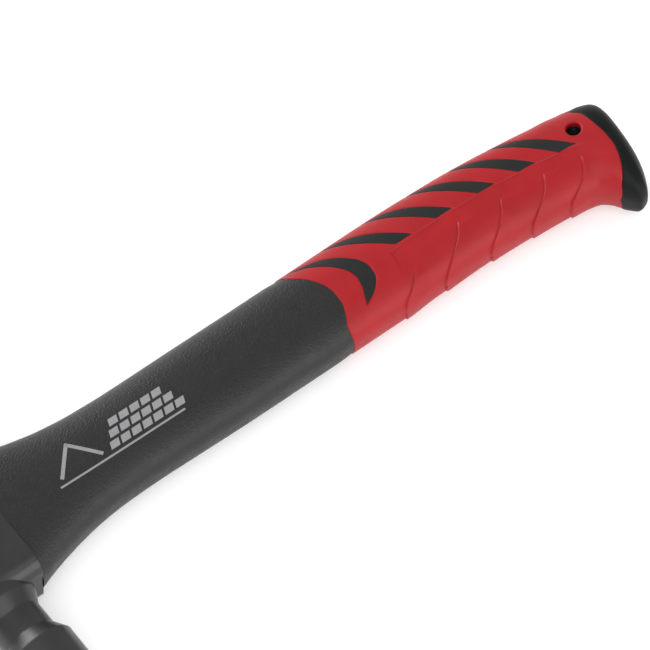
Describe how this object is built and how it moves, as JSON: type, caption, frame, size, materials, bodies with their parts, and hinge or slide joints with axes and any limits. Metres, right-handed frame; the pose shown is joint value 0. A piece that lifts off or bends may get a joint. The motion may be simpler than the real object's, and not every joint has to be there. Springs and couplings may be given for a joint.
{
  "type": "roofing hatchet",
  "caption": "Roofing hatchet: forged head with milled hammer face, blade, nail slot and sliding shingle gauge on a fibreglass handle with a moulded two-colour grip.",
  "frame": {"origin": "centre of the hang hole, half way through the grip", "axes": "+X along the handle from the head to the butt, +Y towards the blade and the back of the grip, +Z along the hang hole, up through the flat side of the tool as it lies on its side"},
  "size_m": [0.3314, 0.174, 0.03],
  "materials": {
    "painted_steel": "satin black paint over a forging, bright ground edge and face",
    "magnet": "plated",
    "epoxy": "cast, slightly glossy",
    "fibreglass": "pultruded",
    "black_plastic": "moulded, fine spark-eroded grain",
    "red_rubber": "soft moulded, satin",
    "black_rubber": "soft moulded, matt",
    "plated_steel": "zinc plated"
  },
  "bodies": {
    "hatchet": {"hatchet_head": "painted_steel", "nail_magnet": "magnet", "eye_epoxy": "epoxy", "fibreglass_core": "fibreglass", "handle_jacket": "black_plastic", "grip_sleeve": "red_rubber", "butt_cap": "black_rubber", "grip_stripe_top_1": "black_rubber", "grip_stripe_top_2": "black_rubber", "grip_stripe_top_3": "black_rubber", "grip_stripe_top_4": "black_rubber", "grip_stripe_top_5": "black_rubber", "grip_stripe_top_6": "black_rubber", "grip_stripe_under_1": "black_rubber", "grip_stripe_under_2": "black_rubber", "grip_stripe_under_3": "black_rubber", "grip_stripe_under_4": "black_rubber", "grip_stripe_under_5": "black_rubber", "grip_stripe_under_6": "black_rubber"},
    "gauge_stud": {"gauge_stud": "plated_steel"},
    "gauge_washer": {"gauge_washer": "plated_steel"},
    "gauge_nut": {"gauge_thumb_nut": "plated_steel"}
  },
  "joints": [
    {"name": "gauge_slide", "type": "slide", "parent": "hatchet", "child": "gauge_stud", "axis": [0, 1, 0], "range_m": [-0.01, 0.014]},
    {"name": "washer_lift", "type": "slide", "parent": "gauge_stud", "child": "gauge_washer", "axis": [0, 0, 1], "range_m": [0, 0.0016]},
    {"name": "nut_turn", "type": "hinge", "parent": "gauge_washer", "child": "gauge_nut", "pos_m": [-0.297, 0.0599, 0.007], "axis": [0, 0, 1], "range_deg": [0, 720]}
  ],
  "couplings": [
    {"joint": "washer_lift", "follows": "nut_turn", "m_per_rad": 0.00012732}
  ]
}
